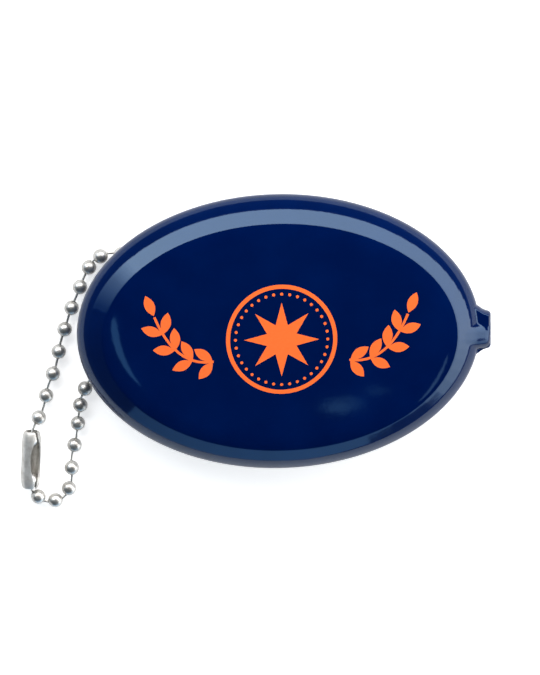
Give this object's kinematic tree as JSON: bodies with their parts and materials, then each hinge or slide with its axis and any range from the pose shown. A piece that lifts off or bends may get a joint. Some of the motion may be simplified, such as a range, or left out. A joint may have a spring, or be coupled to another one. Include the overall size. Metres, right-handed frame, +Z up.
{
  "type": "squeeze coin purse",
  "caption": "Oval domed vinyl squeeze purse with a slit back that opens when its ends are pressed, on a looped steel ball chain",
  "frame": {"origin": "on the flat that the purse rests on, under the middle of the oval", "axes": "+X along the oval from the chain end to the neck tab, +Y across it, +Z up out of the domed front"},
  "size_m": [0.0925, 0.0633, 0.0143],
  "materials": {
    "vinyl": "glossy dip-moulded navy vinyl",
    "nickel_steel": "bright nickel-plated steel"
  },
  "bodies": {
    "purse": {"purse_shell": "vinyl", "bead_09": "nickel_steel", "bead_10": "nickel_steel", "bead_11": "nickel_steel", "bead_12": "nickel_steel", "bead_13": "nickel_steel", "bead_14": "nickel_steel", "bead_15": "nickel_steel", "bead_16": "nickel_steel", "bead_17": "nickel_steel", "bead_18": "nickel_steel", "bead_19": "nickel_steel", "link_08": "nickel_steel", "link_09": "nickel_steel", "link_10": "nickel_steel", "link_11": "nickel_steel", "link_12": "nickel_steel", "link_13": "nickel_steel", "link_14": "nickel_steel", "link_15": "nickel_steel", "link_16": "nickel_steel", "link_17": "nickel_steel", "link_18": "nickel_steel", "link_19": "nickel_steel"},
    "upper_lip": {"upper_lip": "vinyl"},
    "lower_lip": {"lower_lip": "vinyl"},
    "chain_row_1": {"bead_05": "nickel_steel", "bead_06": "nickel_steel", "bead_07": "nickel_steel", "bead_08": "nickel_steel", "bead_20": "nickel_steel", "link_04": "nickel_steel", "link_05": "nickel_steel", "link_06": "nickel_steel", "link_07": "nickel_steel", "link_20": "nickel_steel"},
    "chain_row_2": {"bead_04": "nickel_steel", "bead_21": "nickel_steel", "link_03": "nickel_steel", "link_21": "nickel_steel"},
    "chain_row_3": {"bead_03": "nickel_steel", "bead_22": "nickel_steel", "link_02": "nickel_steel", "link_22": "nickel_steel"},
    "chain_row_4": {"bead_02": "nickel_steel", "bead_23": "nickel_steel", "link_23": "nickel_steel"},
    "chain_end": {"bead_01": "nickel_steel", "bead_24": "nickel_steel", "bead_25": "nickel_steel", "bead_26": "nickel_steel", "bead_27": "nickel_steel", "bead_28": "nickel_steel", "link_01": "nickel_steel", "link_24": "nickel_steel", "link_25": "nickel_steel", "link_26": "nickel_steel", "link_27": "nickel_steel"},
    "connector": {"connector": "nickel_steel"}
  },
  "joints": [
    {"name": "upper_lip_open", "type": "hinge", "parent": "purse", "child": "upper_lip", "pos_m": [0, 0.019, 0.00087], "axis": [1, 0, 0], "range_deg": [0, 35], "stiffness_Nm_per_rad": 0.01},
    {"name": "lower_lip_open", "type": "hinge", "parent": "purse", "child": "lower_lip", "pos_m": [0, -0.019, 0.00087], "axis": [-1, 0, 0], "range_deg": [0, 35], "stiffness_Nm_per_rad": 0.01},
    {"name": "loop_swing", "type": "hinge", "parent": "purse", "child": "chain_row_1", "pos_m": [-0.03778, -0.00064, 0.00122], "axis": [0.0425, -0.9991, -0.0052], "range_deg": [-24, 24]},
    {"name": "loop_fold_1", "type": "hinge", "parent": "chain_row_1", "child": "chain_row_2", "pos_m": [-0.04122, -0.01088, 0.00152], "axis": [0.6161, -0.7864, 0.0444], "range_deg": [-24, 24]},
    {"name": "loop_fold_2", "type": "hinge", "parent": "chain_row_2", "child": "chain_row_3", "pos_m": [-0.04233, -0.01488, 0.00141], "axis": [0.7328, -0.6793, -0.0386], "range_deg": [-24, 24]},
    {"name": "loop_fold_3", "type": "hinge", "parent": "chain_row_3", "child": "chain_row_4", "pos_m": [-0.04309, -0.01939, 0.00142], "axis": [0.7692, -0.6384, 0.0277], "range_deg": [-24, 24]},
    {"name": "loop_fold_4", "type": "hinge", "parent": "chain_row_4", "child": "chain_end", "pos_m": [-0.04428, -0.02275, 0.00154], "axis": [0.6605, -0.7507, -0.0122], "range_deg": [-24, 24]},
    {"name": "connector_spin", "type": "hinge", "parent": "chain_end", "child": "connector", "pos_m": [-0.04872, -0.0261, 0.0019], "axis": [-0.0426, -0.9991, 0], "continuous": true}
  ],
  "couplings": [
    {"joint": "lower_lip_open", "follows": "upper_lip_open", "ratio": 1}
  ]
}
